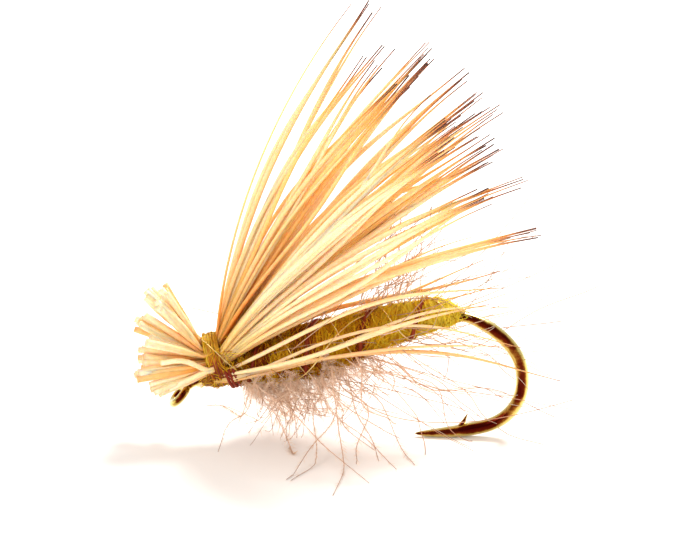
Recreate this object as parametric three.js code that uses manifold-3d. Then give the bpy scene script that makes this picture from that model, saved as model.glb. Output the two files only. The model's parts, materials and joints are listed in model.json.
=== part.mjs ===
// A dry fly: a bronzed hook dressed with tying thread, a dubbed body, a palmered hackle bound by a
// fine gold wire, and a swept-up wing of hollow hair whose clipped butts fan out over the eye.
//
// Millimetres. The dressing is laid out in the hook's own frame: the straight shank runs along +X from
// the eye to the bend, +Z points away from the gape and Y crosses the hook. The whole fly is then
// pitched nose-down about Y, so that it stands on the spear and the hackle tips with +Z up.
import * as THREE from 'three';
import { mergeVertices } from 'three/addons/utils/BufferGeometryUtils.js';
import Module from 'manifold-3d';

const wasm = await Module();
wasm.setup();

// Driving dimensions of the hook.
const wireRadius = 0.225;
const shankLength = 10.95;
const gape = 5.42;
const bendReach = 2.77;
const spearLength = 3.0;
const forgedHalfThickness = 0.19;
const forgedHalfWidth = 0.27;
const eyeDrop = THREE.MathUtils.degToRad(33);
const eyeRingRadius = 0.46;
const eyeWireRadius = 0.18;
const eyeLength = 1.56;
const neckLength = 0.6;

// How the fly stands: nose-down by this much.
const pitch = THREE.MathUtils.degToRad(15.6);

// Driving dimensions of the dressing.
const gap = 0.015;
const threadRadius = 0.3;
const collarStart = 0.85;
const collarEnd = 1.5;
const bodyStart = 1.62;
const bodyEnd = 12.1;
const hairLength = 15.6;
const buttLength = 3.0;
const hackleReach = 4.4;
const stemHalfWidth = 0.14;
const stemThickness = 0.1;
const ribRadius = 0.035;

const acrossHook = new THREE.Vector3(0, 1, 0);
const { lerp, smoothstep, degToRad } = THREE.MathUtils;

const bronze = { color: 0x5a3314, roughness: 0.22, metalness: 1.0 };
const oliveThread = { color: 0x8f7a22, roughness: 0.6, metalness: 0.0 };
const mustardFur = { color: 0xa98820, roughness: 0.95, metalness: 0.0 };
const mauveFeather = { color: 0xa8806c, roughness: 0.8, metalness: 0.0 };
const goldWire = { color: 0xd9b45c, roughness: 0.25, metalness: 1.0 };
const paleHair = { color: 0xe8bf85, roughness: 0.5, metalness: 0.0 };
const creamButt = { color: 0xf0d2a4, roughness: 0.55, metalness: 0.0 };

// Repeatable scatter between -1 and 1, so that no two hairs are quite alike.
function scatter(index, channel) {
  const wave = Math.sin(index * 12.9898 + channel * 78.233) * 43758.5453;
  return 2 * (wave - Math.floor(wave)) - 1;
}

// ---- Solids -----------------------------------------------------------------------------------

function signedVolume(positions, faces) {
  const [a, b, c] = [new THREE.Vector3(), new THREE.Vector3(), new THREE.Vector3()];
  let volume = 0;
  for (let i = 0; i < faces.length; i += 3) {
    a.fromArray(positions, 3 * faces[i]);
    b.fromArray(positions, 3 * faces[i + 1]);
    c.fromArray(positions, 3 * faces[i + 2]);
    volume += a.dot(b.cross(c)) / 6;
  }
  return volume;
}

// A closed solid through a row of rings with the same number of corners. A looped row joins its last
// ring to its first, as a sleeve or an eye does; any other row is capped flat at both ends.
function loft(rings, looped = false) {
  const sides = rings[0].length;
  const positions = rings.flat().flatMap((point) => point.toArray());
  const corners = rings.length * sides;
  const faces = [];
  for (let i = 0; i < rings.length - (looped ? 0 : 1); i++) {
    for (let k = 0; k < sides; k++) {
      const near = i * sides + k;
      const beside = i * sides + ((k + 1) % sides);
      const far = (near + sides) % corners;
      const farBeside = (beside + sides) % corners;
      faces.push(near, beside, farBeside, near, farBeside, far);
    }
  }
  for (let k = 1; !looped && k + 1 < sides; k++) {
    const last = corners - sides;
    faces.push(0, k + 1, k, last, last + k, last + k + 1);
  }
  const geometry = new THREE.BufferGeometry();
  geometry.setAttribute('position', new THREE.Float32BufferAttribute(positions, 3));
  geometry.setIndex(signedVolume(positions, faces) < 0 ? faces.reverse() : faces);
  return geometry;
}

// One ring round a centre: half-widths across the hook and in its plane, with the sides optionally
// pressed flat at a limit, as forging dies leave them.
function ring(centre, normal, sides, halfAcross, halfUp, pressed = Infinity) {
  const points = [];
  for (let k = 0; k < sides; k++) {
    const angle = (2 * Math.PI * (k + 0.5)) / sides;
    const across = THREE.MathUtils.clamp(halfAcross * Math.cos(angle), -pressed, pressed);
    const point = centre.clone().addScaledVector(acrossHook, across);
    points.push(point.addScaledVector(normal, halfUp * Math.sin(angle)));
  }
  return points;
}

// A round tapering strand along a row of points.
function strand(points, sides, radiusAt) {
  const side = new THREE.Vector3();
  const up = new THREE.Vector3();
  const rings = points.map((point, i) => {
    const before = points[Math.max(i - 1, 0)];
    const after = points[Math.min(i + 1, points.length - 1)];
    const along = after.clone().sub(before).normalize();
    side.copy(acrossHook).addScaledVector(along, -along.y).normalize();
    up.crossVectors(along, side);
    const radius = radiusAt(i / (points.length - 1));
    const corners = [];
    for (let k = 0; k < sides; k++) {
      const angle = (2 * Math.PI * k) / sides;
      const corner = point.clone().addScaledVector(side, radius * Math.cos(angle));
      corners.push(corner.addScaledVector(up, radius * Math.sin(angle)));
    }
    return corners;
  });
  return loft(rings);
}

function toManifold(geometry) {
  const welded = mergeVertices(geometry, 1e-5);
  const vertProperties = new Float32Array(welded.getAttribute('position').array);
  const triVerts = new Uint32Array(welded.getIndex().array);
  return new wasm.Manifold(new wasm.Mesh({ numProp: 3, vertProperties, triVerts }));
}

function fuse(geometries) {
  const whole = geometries.map(toManifold).reduce((sum, part) => sum.add(part));
  const mesh = whole.getMesh();
  const geometry = new THREE.BufferGeometry();
  geometry.setAttribute('position', new THREE.Float32BufferAttribute(mesh.vertProperties, 3));
  geometry.setIndex(Array.from(mesh.triVerts));
  return geometry;
}

// ---- Hook -------------------------------------------------------------------------------------

const inPlane = (x, z) => new THREE.Vector3(x, 0, z);

function wirePath() {
  const eyeward = inPlane(-Math.cos(eyeDrop), -Math.sin(eyeDrop));
  const ringNear = eyeward.clone().multiplyScalar(eyeLength - 2 * eyeRingRadius - eyeWireRadius);
  const shankFront = inPlane(neckLength, 0);
  const bendTop = inPlane(shankLength, 0);
  const bendBack = inPlane(shankLength + bendReach, -0.56 * gape);
  const spearRoot = inPlane(shankLength + 0.55, -gape);
  const spearTip = inPlane(spearRoot.x - spearLength, 0.49 - gape);
  const path = new THREE.CurvePath();
  path.add(new THREE.QuadraticBezierCurve3(ringNear, inPlane(0, 0), shankFront));
  path.add(new THREE.LineCurve3(shankFront, bendTop));
  const upper = [inPlane(bendTop.x + 1.25, 0), inPlane(bendBack.x, bendBack.z + 1.34)];
  path.add(new THREE.CubicBezierCurve3(bendTop, ...upper, bendBack));
  const lower = [inPlane(bendBack.x, bendBack.z - 1.31), inPlane(spearRoot.x + 1.4, -gape)];
  path.add(new THREE.CubicBezierCurve3(bendBack, ...lower, spearRoot));
  const spearMiddle = inPlane(spearRoot.x - 1.3, 0.04 - gape);
  path.add(new THREE.QuadraticBezierCurve3(spearRoot, spearMiddle, spearTip));
  return path;
}

const hookPath = wirePath();
const hookLength = hookPath.getLength();
const neckArc = hookPath.curves[0].getLength();

// A place on the wire's centre line, its distance counted so that it equals X on the straight shank.
function onWire(x) {
  const arc = x - neckLength + neckArc;
  const t = THREE.MathUtils.clamp(arc / hookLength, 0, 1);
  const step = 1e-3;
  const before = hookPath.getPoint(Math.max(t - step, 0));
  const after = hookPath.getPoint(Math.min(t + step, 1));
  const along = after.sub(before).normalize();
  const up = new THREE.Vector3().crossVectors(along, acrossHook);
  return { centre: hookPath.getPoint(t), along, up };
}

const wireStart = neckLength - neckArc;
const wireEnd = wireStart + hookLength;

function hookWire() {
  const stations = [0, 0.35, 0.6, 0.85].map((part) => wireStart + part * neckArc);
  stations.push(neckLength, 0.6 * shankLength);
  const bendSteps = 26;
  for (let i = 0; i <= bendSteps; i++) {
    stations.push(lerp(shankLength, wireEnd, i / bendSteps));
  }
  const taperLength = 2.3;
  const rings = stations.map((x) => {
    const { centre, up } = onWire(x);
    const forged = smoothstep(x, shankLength + 1, shankLength + 2.4);
    const taper = Math.sqrt(THREE.MathUtils.clamp((wireEnd - x) / taperLength, 0.004, 1));
    const neck = lerp(eyeWireRadius / wireRadius, 1, smoothstep(x, wireStart, neckLength));
    const halfUp = lerp(wireRadius * neck, forgedHalfWidth, forged) * taper;
    const pressed = lerp(wireRadius, forgedHalfThickness, forged) * Math.min(1, taper * 1.2);
    const halfAcross = lerp(wireRadius * neck, forgedHalfWidth, forged) * Math.min(1, taper * 1.2);
    return ring(centre, up, 12, halfAcross, halfUp, pressed);
  });
  return loft(rings);
}

function hookEye() {
  const eyeward = inPlane(-Math.cos(eyeDrop), -Math.sin(eyeDrop));
  const normal = new THREE.Vector3().crossVectors(eyeward, acrossHook);
  const middle = eyeward.clone().multiplyScalar(eyeLength - eyeRingRadius - eyeWireRadius);
  const rings = [];
  const turns = 20;
  for (let i = 0; i < turns; i++) {
    const angle = (2 * Math.PI * i) / turns;
    const outward = eyeward.clone().multiplyScalar(Math.cos(angle));
    outward.addScaledVector(acrossHook, Math.sin(angle));
    const centre = middle.clone().addScaledVector(outward, eyeRingRadius);
    const corners = [];
    for (let k = 0; k < 8; k++) {
      const turn = (2 * Math.PI * (k + 0.5)) / 8;
      const corner = centre.clone().addScaledVector(outward, eyeWireRadius * Math.cos(turn));
      corners.push(corner.addScaledVector(normal, eyeWireRadius * Math.sin(turn)));
    }
    rings.push(corners);
  }
  return loft(rings, true);
}

// The barb is a sliver cut up from the inner side of the spear, leaning back towards the bend.
function hookBarb() {
  const foot = inPlane(shankLength - 0.62, 0.14 - gape);
  const point = inPlane(shankLength - 0.04, 0.75 - gape);
  return strand([foot, foot.clone().lerp(point, 0.5), point], 6, (t) => lerp(0.13, 0.02, t));
}

function hook() {
  return fuse([hookWire(), hookEye(), hookBarb()]);
}

// ---- Thread, body and rib ---------------------------------------------------------------------

// A sleeve along the wire: outer rings one way, inner rings back, joined at both ends.
function sleeve(stations, sides, outerAt, innerAt) {
  const outer = stations.map((x) => outerAt(x, sides));
  const inner = stations.map((x) => innerAt(x, sides)).reverse();
  return loft([...outer, ...inner], true);
}

function roundOnWire(x, sides, radius, lift = 0) {
  const { centre, up } = onWire(x);
  return ring(centre.addScaledVector(up, lift), up, sides, radius, radius);
}

function evenly(from, to, count) {
  return Array.from({ length: count + 1 }, (_, i) => lerp(from, to, i / count));
}

// Close turns of thread laid along the bare shank before anything else.
function threadUnderbody() {
  const straight = [collarEnd + 0.02, 5, 9, shankLength - 0.3];
  const stations = [...straight, ...evenly(shankLength, bodyEnd - 0.2, 3)];
  const outer = (x, sides) => roundOnWire(x, sides, threadRadius);
  const inner = (x, sides) => roundOnWire(x, sides, wireRadius + gap);
  return sleeve(stations, 12, outer, inner);
}

// The dubbing is slim at the bend, fullest over the middle and slim again behind the collar: places
// along the wire, each with the body's radius there.
const bodyStations = [
  [bodyStart, 0.38],
  [2.2, 0.62],
  [3.2, 0.88],
  [5.6, 1.12],
  [7.6, 0.92],
  [9.2, 0.77],
  [10.6, 0.67],
  [11.5, 0.5],
  [bodyEnd, 0.36],
];

function bodyRadius(x) {
  const next = bodyStations.findIndex(([place]) => place >= x);
  if (next < 1) return bodyStations.at(next < 0 ? -1 : 0)[1];
  const [before, after] = [bodyStations[next - 1], bodyStations[next]];
  return lerp(before[1], after[1], smoothstep(x, before[0], after[0]));
}

// Behind the middle more fur sits above the wire than below it.
const bodyLift = (x) => 0.16 * smoothstep(x, 6.5, 9) * (1 - smoothstep(x, 10.5, 11.9));

function dubbedBody() {
  const stations = evenly(bodyStart, bodyEnd, 20);
  const outer = (x, sides) => roundOnWire(x, sides, bodyRadius(x), bodyLift(x));
  const inner = (x, sides) => roundOnWire(x, sides, threadRadius + gap);
  return sleeve(stations, 16, outer, inner);
}

// A point of a spiral wound on the body, at a height above its surface; hand is +1 or -1.
function spiralPlace(x, height, turns, hand, phase) {
  const { centre, up } = onWire(x);
  const part = (x - bodyStart) / (bodyEnd - bodyStart);
  const angle = phase + hand * 2 * Math.PI * turns * part;
  const outward = up.clone().multiplyScalar(Math.cos(angle));
  outward.addScaledVector(acrossHook, Math.sin(angle));
  centre.addScaledVector(up, bodyLift(x));
  return { place: centre.addScaledVector(outward, bodyRadius(x) + height), outward, angle };
}

// A cord wound on the body: half-width along the body and half-thickness away from it.
function windCord(height, turns, hand, phase, halfWidth, halfThickness, sides) {
  const [start, end] = [bodyStart + 0.25, bodyEnd - 0.75];
  const stations = evenly(start, end, Math.round(turns * 16));
  const rings = stations.map((x) => {
    const { place, outward } = spiralPlace(x, height, turns, hand, phase);
    const ahead = spiralPlace(x + 0.01, height, turns, hand, phase).place;
    const along = ahead.sub(place).normalize();
    const width = new THREE.Vector3().crossVectors(along, outward).normalize();
    const corners = [];
    for (let k = 0; k < sides; k++) {
      const angle = (2 * Math.PI * (k + 0.5)) / sides;
      const corner = place.clone().addScaledVector(width, halfWidth * Math.cos(angle));
      corners.push(corner.addScaledVector(outward, halfThickness * Math.sin(angle)));
    }
    return corners;
  });
  return loft(rings);
}

// The feather and the wire are wound in opposite senses, so that every turn of wire crosses the stem
// and binds it. Phases are the angles from the top of the body at which the windings begin.
const hackleTurns = 4.3;
const hackleHand = 1;
const hacklePhase = 2.2;
const stemHeight = gap + stemThickness / 2;
const ribTurns = 4.6;
const ribPhase = 0.4;

function ribWire() {
  const height = stemThickness + 3 * gap + ribRadius;
  return windCord(height, ribTurns, -hackleHand, ribPhase, ribRadius, ribRadius, 5);
}

// ---- Hackle -----------------------------------------------------------------------------------

const heightOf = (point) => point.x * Math.sin(pitch) + point.z * Math.cos(pitch);

function keepAbove(point, floor, outwards) {
  const sunk = floor - heightOf(point);
  if (sunk > 0) {
    point.z += sunk / Math.cos(pitch);
    point.y += 0.8 * Math.sign(outwards) * sunk;
  }
  return point;
}

// One soft barb: it leaves the stem straight out, sweeps back and splays where it meets the ground.
function hackleBarb(index, x, floor) {
  const { place, outward } = spiralPlace(x, stemHeight, hackleTurns, hackleHand, hacklePhase);
  const reach = hackleReach * (1 + 0.18 * scatter(index, 1));
  const back = 0.5 + 0.7 * scatter(index, 2);
  const side = Math.abs(outward.y) < 0.05 ? scatter(index, 3) : outward.y;
  const middle = place.clone().addScaledVector(outward, 0.55 * reach);
  const tip = place.clone().addScaledVector(outward, reach);
  tip.x += back;
  tip.y += 0.5 * scatter(index, 4);
  const barbTip = 0.018;
  keepAbove(middle, floor + 0.35, side);
  keepAbove(tip, floor + barbTip, side);
  const bow = new THREE.QuadraticBezierCurve3(place, middle, tip);
  return strand(bow.getPoints(5), 3, (t) => lerp(0.05, barbTip, t));
}

// The feather's stem winds forward over the body; the barbs modelled are those on its lower half.
function palmeredHackle(floor) {
  const halfThickness = stemThickness / 2;
  const stem = windCord(stemHeight, hackleTurns, hackleHand, hacklePhase, stemHalfWidth, halfThickness, 6);
  const barbs = [];
  const places = evenly(bodyStart + 0.3, bodyEnd - 1.6, 130);
  const lowerHalf = -0.22;
  places.forEach((x, index) => {
    const { angle } = spiralPlace(x, stemHeight, hackleTurns, hackleHand, hacklePhase);
    if (Math.cos(angle) < lowerHalf) barbs.push(hackleBarb(index, x, floor));
  });
  return fuse([stem, ...barbs]);
}

// ---- Hair -------------------------------------------------------------------------------------

// The bundle is pinched between the shank and the collar in an upright oval.
const pinchCentre = 1.0;
const pinchHalfHeight = 0.68;
const pinchHalfWidth = 0.74;

function ovalRing(x, sides, centreHeight, halfAcross, halfUp) {
  return ring(inPlane(x, centreHeight), new THREE.Vector3(0, 0, 1), sides, halfAcross, halfUp);
}

function hairPinch() {
  const squeeze = (x) => 1 - 0.04 * Math.sin((Math.PI * (x - collarStart)) / (collarEnd - collarStart));
  const rings = evenly(collarStart + gap, collarEnd - gap, 4).map((x) => {
    return ovalRing(x, 16, pinchCentre, pinchHalfWidth * squeeze(x), pinchHalfHeight * squeeze(x));
  });
  return loft(rings);
}

// Tight turns of thread round hair and shank together; every turn shows as a ripple.
function threadCollar() {
  const wraps = 5;
  const stations = evenly(collarStart, collarEnd, 2 * wraps);
  const centreHeight = 0.69;
  const outer = (x, sides) => {
    const turn = ((x - collarStart) / (collarEnd - collarStart)) * wraps;
    const ripple = 0.05 * Math.abs(Math.sin(Math.PI * turn));
    return ovalRing(x, sides, centreHeight, 0.87 + ripple, 1.1 + ripple);
  };
  const inner = (x, sides) => ovalRing(x, sides, centreHeight, 0.8, 1.03);
  return sleeve(stations, 18, outer, inner);
}

// The finishing turns on the bare wire between collar and eye.
function whipFinish() {
  const wraps = 3;
  const [start, end] = [0.3, collarStart - gap];
  const stations = evenly(start, end, 2 * wraps);
  const outer = (x, sides) => {
    const part = (x - start) / (end - start);
    const ripple = 0.035 * Math.abs(Math.sin(Math.PI * part * wraps));
    return roundOnWire(x, sides, lerp(0.28, 0.42, part) + ripple);
  };
  const inner = (x, sides) => roundOnWire(x, sides, wireRadius + gap);
  return sleeve(stations, 12, outer, inner);
}

// The line of a hair: it leaves its root at one slope above the shank and leans back as it goes.
function hairLine(root, rise, lean, fan, length, steps) {
  const points = [root.clone()];
  for (let i = 0; i < steps; i++) {
    const slope = degToRad(rise + (lean * (i + 0.5)) / steps);
    const sideways = degToRad(fan);
    const heading = new THREE.Vector3(
      Math.cos(slope) * Math.cos(sideways),
      Math.sin(sideways),
      Math.sin(slope) * Math.cos(sideways),
    );
    points.push(points[i].clone().addScaledVector(heading, length / steps));
  }
  return points;
}

function lockRadius(t) {
  const [root, belly, tip] = [0.115, 0.23, 0.05];
  return t < 0.3 ? lerp(root, belly, smoothstep(t, 0, 0.3)) : lerp(belly, tip, (t - 0.3) / 0.7);
}

// Rows of wing locks, from the steepest down: how high each row leaves the pinch, its slope at the
// root, the places across the pinch and the part of the wing that it moves with.
const wingRows = [
  { layer: 'upper', height: 1.5, rise: 56, lean: -17, across: [-0.28, 0.02, 0.31] },
  { layer: 'upper', height: 1.24, rise: 49, lean: -15, across: [-0.46, -0.16, 0.16, 0.46] },
  { layer: 'middle', height: 0.96, rise: 37.5, lean: -13, across: [-0.6, -0.28, 0.02, 0.32] },
  { layer: 'middle', height: 0.7, rise: 30, lean: -12, across: [-0.56, -0.2, 0.22, 0.57] },
  { layer: 'lower', height: 0.5, rise: 23.5, lean: -20, across: [-0.44, 0.02, 0.46] },
];

function wingLocks() {
  const locks = [];
  wingRows.forEach((row, rowIndex) => {
    row.across.forEach((across, index) => {
      const seed = 10 * rowIndex + index;
      const root = new THREE.Vector3(collarEnd + 0.06, across, row.height);
      const rise = row.rise + 1.6 * scatter(seed, 1);
      const fan = across * 26 + 1.2 * scatter(seed, 2);
      const length = hairLength * (1 + 0.035 * scatter(seed, 3));
      const line = hairLine(root, rise, row.lean, fan, length, 9);
      locks.push([`wing_${row.layer}_lock_${rowIndex + 1}${index + 1}`, strand(line, 6, lockRadius)]);
    });
  });
  return locks;
}

// The single hair that stands apart, steeper and longer than the wing.
function strayHair() {
  const root = new THREE.Vector3(collarEnd + 0.06, -0.13, 1.68);
  const line = hairLine(root, 69, -31, -2, hairLength * 1.05, 10);
  return strand(line, 5, (t) => lerp(0.07, 0.03, t));
}

// Low hairs escape round the sides and lie along the body, clear of the wound feather and wire. Each
// course is the side of the hook that it lies on and the places it passes, given for the +Y side.
function sideHairs() {
  const beside = 1.5;
  const courses = {
    near_upper: [-1, [[1.56, 0.84, 0.2], [5.6, beside, 0.45], [9.5, 1.35, 0.55], [15, 1.7, 0.55]]],
    near_lower: [-1, [[1.56, 0.8, -0.1], [5.6, beside, -0.1], [10.2, 1.2, -1.1], [15.7, 1.2, -3.2]]],
    far_upper: [1, [[1.56, 0.84, 0.25], [5.6, beside, 0.6], [9.5, 1.5, 0.8], [14.4, 2.1, 1.1]]],
    far_lower: [1, [[1.56, 0.8, -0.05], [5.6, beside, 0.1], [9.5, 1.4, 0.1], [14.2, 1.8, 0]]],
  };
  return Object.entries(courses).map(([name, [side, points]]) => {
    const course = points.map(([x, y, z]) => new THREE.Vector3(x, side * y, z));
    const line = new THREE.CatmullRomCurve3(course).getPoints(10);
    return [`side_hair_${name}`, strand(line, 6, (t) => lerp(0.1, 0.03, t))];
  });
}

// Clipped butts: the same hairs cut off square in front of the collar. They stand in four rows, from
// the steepest down, each with its places across the collar and the slope of every butt in the row.
function clippedButts() {
  const butts = [];
  const fans = [
    { height: 1.42, across: [-0.4, -0.02, 0.38], rises: [116, 104, 122], sideways: 20 },
    { height: 1.12, across: [-0.55, -0.18, 0.2, 0.56], rises: [142, 132, 139, 147], sideways: 24 },
    { height: 0.8, across: [-0.58, -0.2, 0.19, 0.57], rises: [170, 160, 166, 172], sideways: 22 },
    { height: 0.5, across: [-0.46, 0.47], rises: [181, 178], sideways: 24 },
  ];
  fans.forEach((fan, fanIndex) => {
    fan.across.forEach((across, index) => {
      const seed = 70 + 10 * fanIndex + index;
      const root = new THREE.Vector3(collarStart - 0.1, across, fan.height);
      const length = buttLength * (1 + 0.08 * scatter(seed, 3));
      const line = hairLine(root, fan.rises[index], 0, across * fan.sideways, length, 3);
      const name = `butt_lock_${fanIndex + 1}${index + 1}`;
      butts.push([name, strand(line, 7, (t) => lerp(0.12, 0.2, smoothstep(t, 0, 0.6)))]);
    });
  });
  return butts;
}

// ---- The whole fly ----------------------------------------------------------------------------

function lowestHeight(geometry) {
  const position = geometry.getAttribute('position');
  const point = new THREE.Vector3();
  let lowest = Infinity;
  for (let i = 0; i < position.count; i++) {
    lowest = Math.min(lowest, heightOf(point.fromBufferAttribute(position, i)));
  }
  return lowest;
}

function dryFly() {
  const hookSolid = hook();
  const floor = lowestHeight(hookSolid);
  const pieces = [
    ['hook', hookSolid, bronze],
    ['thread_underbody', threadUnderbody(), oliveThread],
    ['thread_collar', threadCollar(), oliveThread],
    ['whip_finish', whipFinish(), oliveThread],
    ['dubbed_body', dubbedBody(), mustardFur],
    ['palmered_hackle', palmeredHackle(floor), mauveFeather],
    ['rib_wire', ribWire(), goldWire],
    ['hair_pinch', hairPinch(), paleHair],
    ['wing_stray_hair', strayHair(), paleHair],
    ...wingLocks().map(([name, solid]) => [name, solid, paleHair]),
    ...sideHairs().map(([name, solid]) => [name, solid, paleHair]),
    ...clippedButts().map(([name, solid]) => [name, solid, creamButt]),
  ];

  const stance = new THREE.Matrix4().makeRotationY(-pitch);
  const bounds = new THREE.Box3();
  for (const [, solid] of pieces) {
    solid.applyMatrix4(stance);
    solid.computeBoundingBox();
    bounds.union(solid.boundingBox);
  }
  const middleX = (bounds.min.x + bounds.max.x) / 2;

  const fly = new THREE.Group();
  fly.name = 'dry_fly';
  for (const [name, solid, look] of pieces) {
    solid.translate(-middleX, 0, -bounds.min.z);
    solid.computeVertexNormals();
    const mesh = new THREE.Mesh(solid, new THREE.MeshStandardMaterial(look));
    mesh.name = name;
    fly.add(mesh);
  }
  return fly;
}

export default dryFly();
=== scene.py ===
import json
from math import atan2, comb, cos, pi, radians, sin, tanh

import bmesh
import bpy
import numpy as np
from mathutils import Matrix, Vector


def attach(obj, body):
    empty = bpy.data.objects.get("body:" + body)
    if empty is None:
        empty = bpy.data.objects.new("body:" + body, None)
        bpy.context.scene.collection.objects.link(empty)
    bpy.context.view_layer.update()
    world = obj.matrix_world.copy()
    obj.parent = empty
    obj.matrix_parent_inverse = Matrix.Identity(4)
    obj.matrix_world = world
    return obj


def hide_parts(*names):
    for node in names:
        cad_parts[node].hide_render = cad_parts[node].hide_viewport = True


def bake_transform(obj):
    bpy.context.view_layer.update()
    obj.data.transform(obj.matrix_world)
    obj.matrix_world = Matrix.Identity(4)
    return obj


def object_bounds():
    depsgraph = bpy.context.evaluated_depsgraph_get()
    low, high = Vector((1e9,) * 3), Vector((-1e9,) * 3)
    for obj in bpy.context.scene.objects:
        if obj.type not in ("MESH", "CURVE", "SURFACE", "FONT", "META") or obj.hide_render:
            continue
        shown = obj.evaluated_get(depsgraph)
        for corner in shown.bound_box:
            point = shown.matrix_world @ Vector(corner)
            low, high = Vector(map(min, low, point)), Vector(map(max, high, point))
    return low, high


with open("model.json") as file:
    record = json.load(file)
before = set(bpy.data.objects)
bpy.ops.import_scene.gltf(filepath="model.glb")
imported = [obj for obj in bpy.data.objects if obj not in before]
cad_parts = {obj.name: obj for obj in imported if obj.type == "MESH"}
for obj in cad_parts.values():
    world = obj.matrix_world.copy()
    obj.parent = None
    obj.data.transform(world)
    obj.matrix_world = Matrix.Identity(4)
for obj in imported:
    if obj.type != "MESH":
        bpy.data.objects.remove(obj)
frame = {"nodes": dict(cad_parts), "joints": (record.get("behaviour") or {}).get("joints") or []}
cad_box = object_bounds()

MM = 0.001
EYE_DROP = radians(33)
# A CAD ring has no corner straight across: the share of its radius that its corners reach.
EYE_CORNER = cos(pi / 8)
BODY_CORNER = cos(pi / 16)
# The underbody stands this far off the wire.
CLEARANCE = 0.015
# Corners of a CAD strand further apart than this along it belong to different rings.
RING_GAP = 0.2


# ---- The hook's frame, found from the CAD ----


def row_corners(node):
    """The corners of a CAD node in the row frame, in millimetres."""
    points = np.array([corner.co for corner in frame["nodes"][node].data.vertices]) / MM
    return np.unique(np.round(points, 4), axis=0)


def rings_apart(distance):
    """The corners of each ring of a CAD shape, told apart by their distance along it."""
    order = np.argsort(distance)
    ends = np.flatnonzero(np.diff(distance[order]) > RING_GAP) + 1
    return np.split(order, ends)


def ring_middles(corners, start):
    """The middle of each ring of a CAD strand or sleeve, counted from the end nearest to start."""
    away = np.linalg.norm(corners - start, axis=1)
    return np.array([corners[ring].mean(axis=0) for ring in rings_apart(away)])


def pitched(points, angle):
    """Points turned nose-down about the y axis."""
    points = np.asarray(points, float)
    x, y, z = points[..., 0], points[..., 1], points[..., 2]
    c, s = cos(angle), sin(angle)
    return np.stack([x * c - z * s, y, x * s + z * c], axis=-1)


flex = next(j for j in frame["joints"] if j["name"] == "wing_upper_flex")
flex_place = np.array(flex["pos_m"]) / MM

# The thread underbody is wound on the straight shank, so its rings give the shank's line.
shank_rings = ring_middles(row_corners("thread_underbody"), flex_place)
shank_line = shank_rings[1] - shank_rings[0]
PITCH = atan2(shank_line[2], shank_line[0])


def level_corners(node):
    """The corners of a CAD node with the shank level, measured from the wing's hinge."""
    return pitched(row_corners(node) - flex_place, -PITCH)


underbody = level_corners("thread_underbody")
level_rings = pitched(shank_rings - flex_place, -PITCH)
axis_height = level_rings[0, 2]
front_ring = underbody[underbody[:, 0] < level_rings[0, 0] + 0.1]
WIRE_RADIUS = np.hypot(front_ring[:, 1], front_ring[:, 2] - axis_height).min() - CLEARANCE
FORGED_HALF_WIDTH = 1.27 * WIRE_RADIUS
FORGED_HALF_THICKNESS = 0.89 * WIRE_RADIUS
NECK_LENGTH = 2.67 * WIRE_RADIUS

level_hook = level_corners("hook")
hook_low, hook_high = level_hook.min(axis=0), level_hook.max(axis=0)
EYE_WIRE = 0.8 * WIRE_RADIUS
EYE_RING = hook_high[1] - EYE_CORNER * EYE_WIRE
EYE_LENGTH = 3.39 * EYE_RING

# The origin is where the line of the shank meets the line of the eye.
eye_reach = (EYE_LENGTH - EYE_WIRE) * cos(EYE_DROP) + EYE_WIRE
ORIGIN = np.array([hook_low[0] + eye_reach, 0.0, axis_height])


def to_row(points):
    """Hook-frame millimetres to row-frame metres."""
    return (pitched(points + ORIGIN, PITCH) + flex_place) * MM


def height_above_ground(points):
    return (pitched(points + ORIGIN, PITCH) + flex_place)[..., 2]


def hook_corners(node):
    """The corners of a CAD node in the hook's frame."""
    return level_corners(node) - ORIGIN


def hook_box(node):
    corners = hook_corners(node)
    return corners.min(axis=0), corners.max(axis=0)


TIE_IN = -ORIGIN


def centre_line(node):
    """The middle line of a CAD strand, from the end at the collar to its tip."""
    return ring_middles(hook_corners(node), TIE_IN)


def nodes_named(start):
    return sorted(node for node in frame["nodes"] if node.startswith(start))


# The outline of the hook: the CAD's wire reaches this far beyond its own centre line.
forged_reach = 1.16 * WIRE_RADIUS
GAPE = ORIGIN[2] - hook_low[2] - forged_reach
on_axis = np.abs(level_rings[:, 2] - axis_height) < 0.005
SHANK_LENGTH = level_rings[on_axis, 0].max() - ORIGIN[0]
BEND_REACH = hook_high[0] - ORIGIN[0] - forged_reach - SHANK_LENGTH
spear_corners = hook_corners("hook")
spear_corners = spear_corners[spear_corners[:, 2] < -0.7 * GAPE]
SPEAR_ROOT = SHANK_LENGTH + 0.101 * GAPE
SPEAR_LENGTH = SPEAR_ROOT - spear_corners[:, 0].min()

# The collar of the CAD reaches this far beyond the oval that its thread is wound on.
WRAP_DEPTH = 0.11
collar_low, collar_high = hook_box("thread_collar")
COLLAR_START, COLLAR_END = collar_low[0], collar_high[0]
COLLAR_HEIGHT = (collar_low[2] + collar_high[2]) / 2
COLLAR_HALF_WIDTH = collar_high[1] - WRAP_DEPTH
COLLAR_HALF_HEIGHT = (collar_high[2] - collar_low[2]) / 2 - WRAP_DEPTH
whip_low, whip_high = hook_box("whip_finish")
pinch_low, pinch_high = hook_box("hair_pinch")
PINCH_HEIGHT = (pinch_low[2] + pinch_high[2]) / 2


# ---- Meshes ----


def shares(steps):
    """Even steps from 0 to 1."""
    return np.linspace(0, 1, steps)


def circle(sides):
    """Even angles round a circle."""
    return 2 * pi * np.arange(sides) / sides


def unit(vectors):
    return vectors / (np.linalg.norm(vectors, axis=-1, keepdims=True) + 1e-12)


def smoothstep(value, low, high):
    t = np.clip((np.asarray(value, float) - low) / (high - low), 0, 1)
    return t * t * (3 - 2 * t)


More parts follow.
